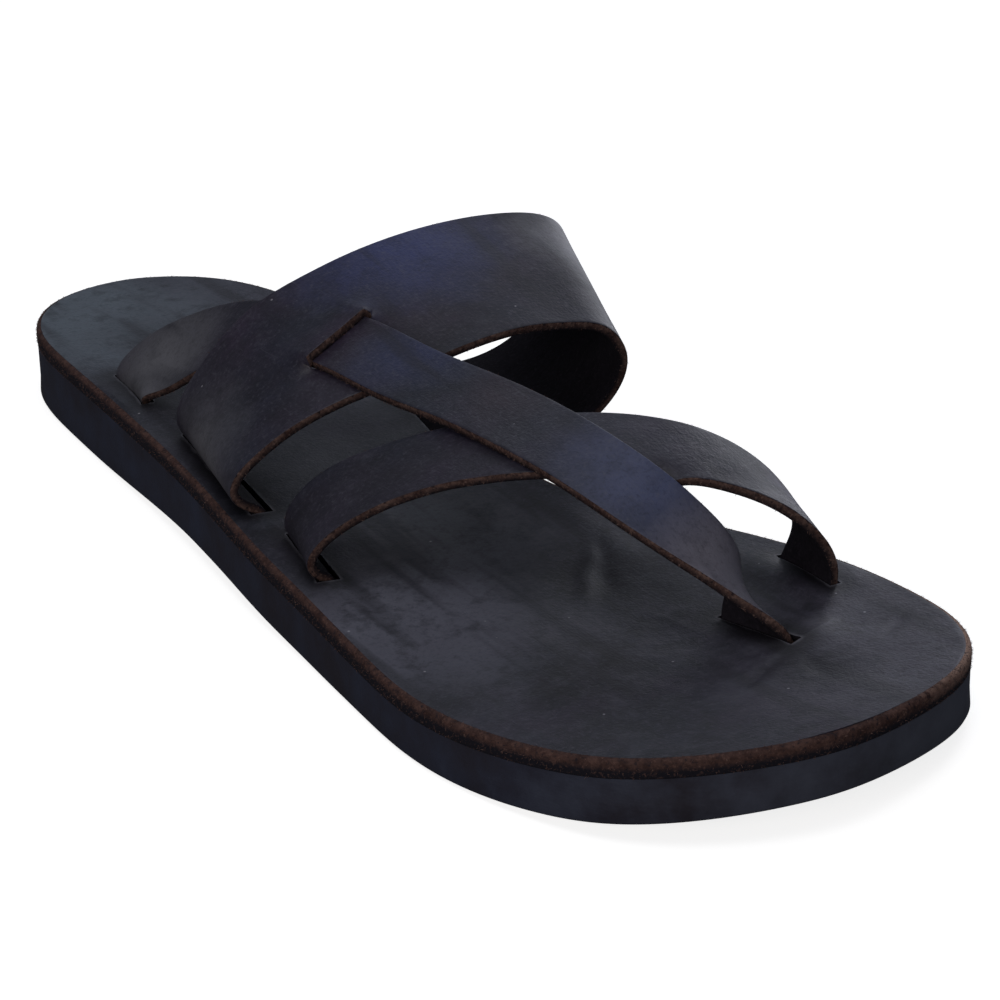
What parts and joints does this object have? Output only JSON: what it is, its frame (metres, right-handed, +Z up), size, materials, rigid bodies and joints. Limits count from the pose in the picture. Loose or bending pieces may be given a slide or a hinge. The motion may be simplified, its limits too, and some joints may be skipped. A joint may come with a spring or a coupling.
{
  "type": "jesus sandal",
  "caption": "Right-foot leather slide sandal: flat rubber outsole, slotted leather footbed, wide instep band and a toe strap that crosses a ball strap.",
  "frame": {"origin": "on the floor, under the middle of the sandal's bounding box", "axes": "+Z up, +Y towards the heel and -Y towards the toe, +X towards the inner (big toe) side of the right foot"},
  "size_m": [0.1038, 0.28, 0.0548],
  "materials": {
    "outsole_rubber": "matt dark navy-black sheet rubber with a buffed edge",
    "footbed_leather": "dark dyed vegetable-tanned leather, low sheen, raw brown cut edge",
    "strap_leather": "dark navy dyed vegetable-tanned leather, waxed sheen, raw brown cut edges"
  },
  "bodies": {
    "root": {"outsole": "outsole_rubber", "footbed": "footbed_leather", "upper": "strap_leather"}
  },
  "joints": []
}
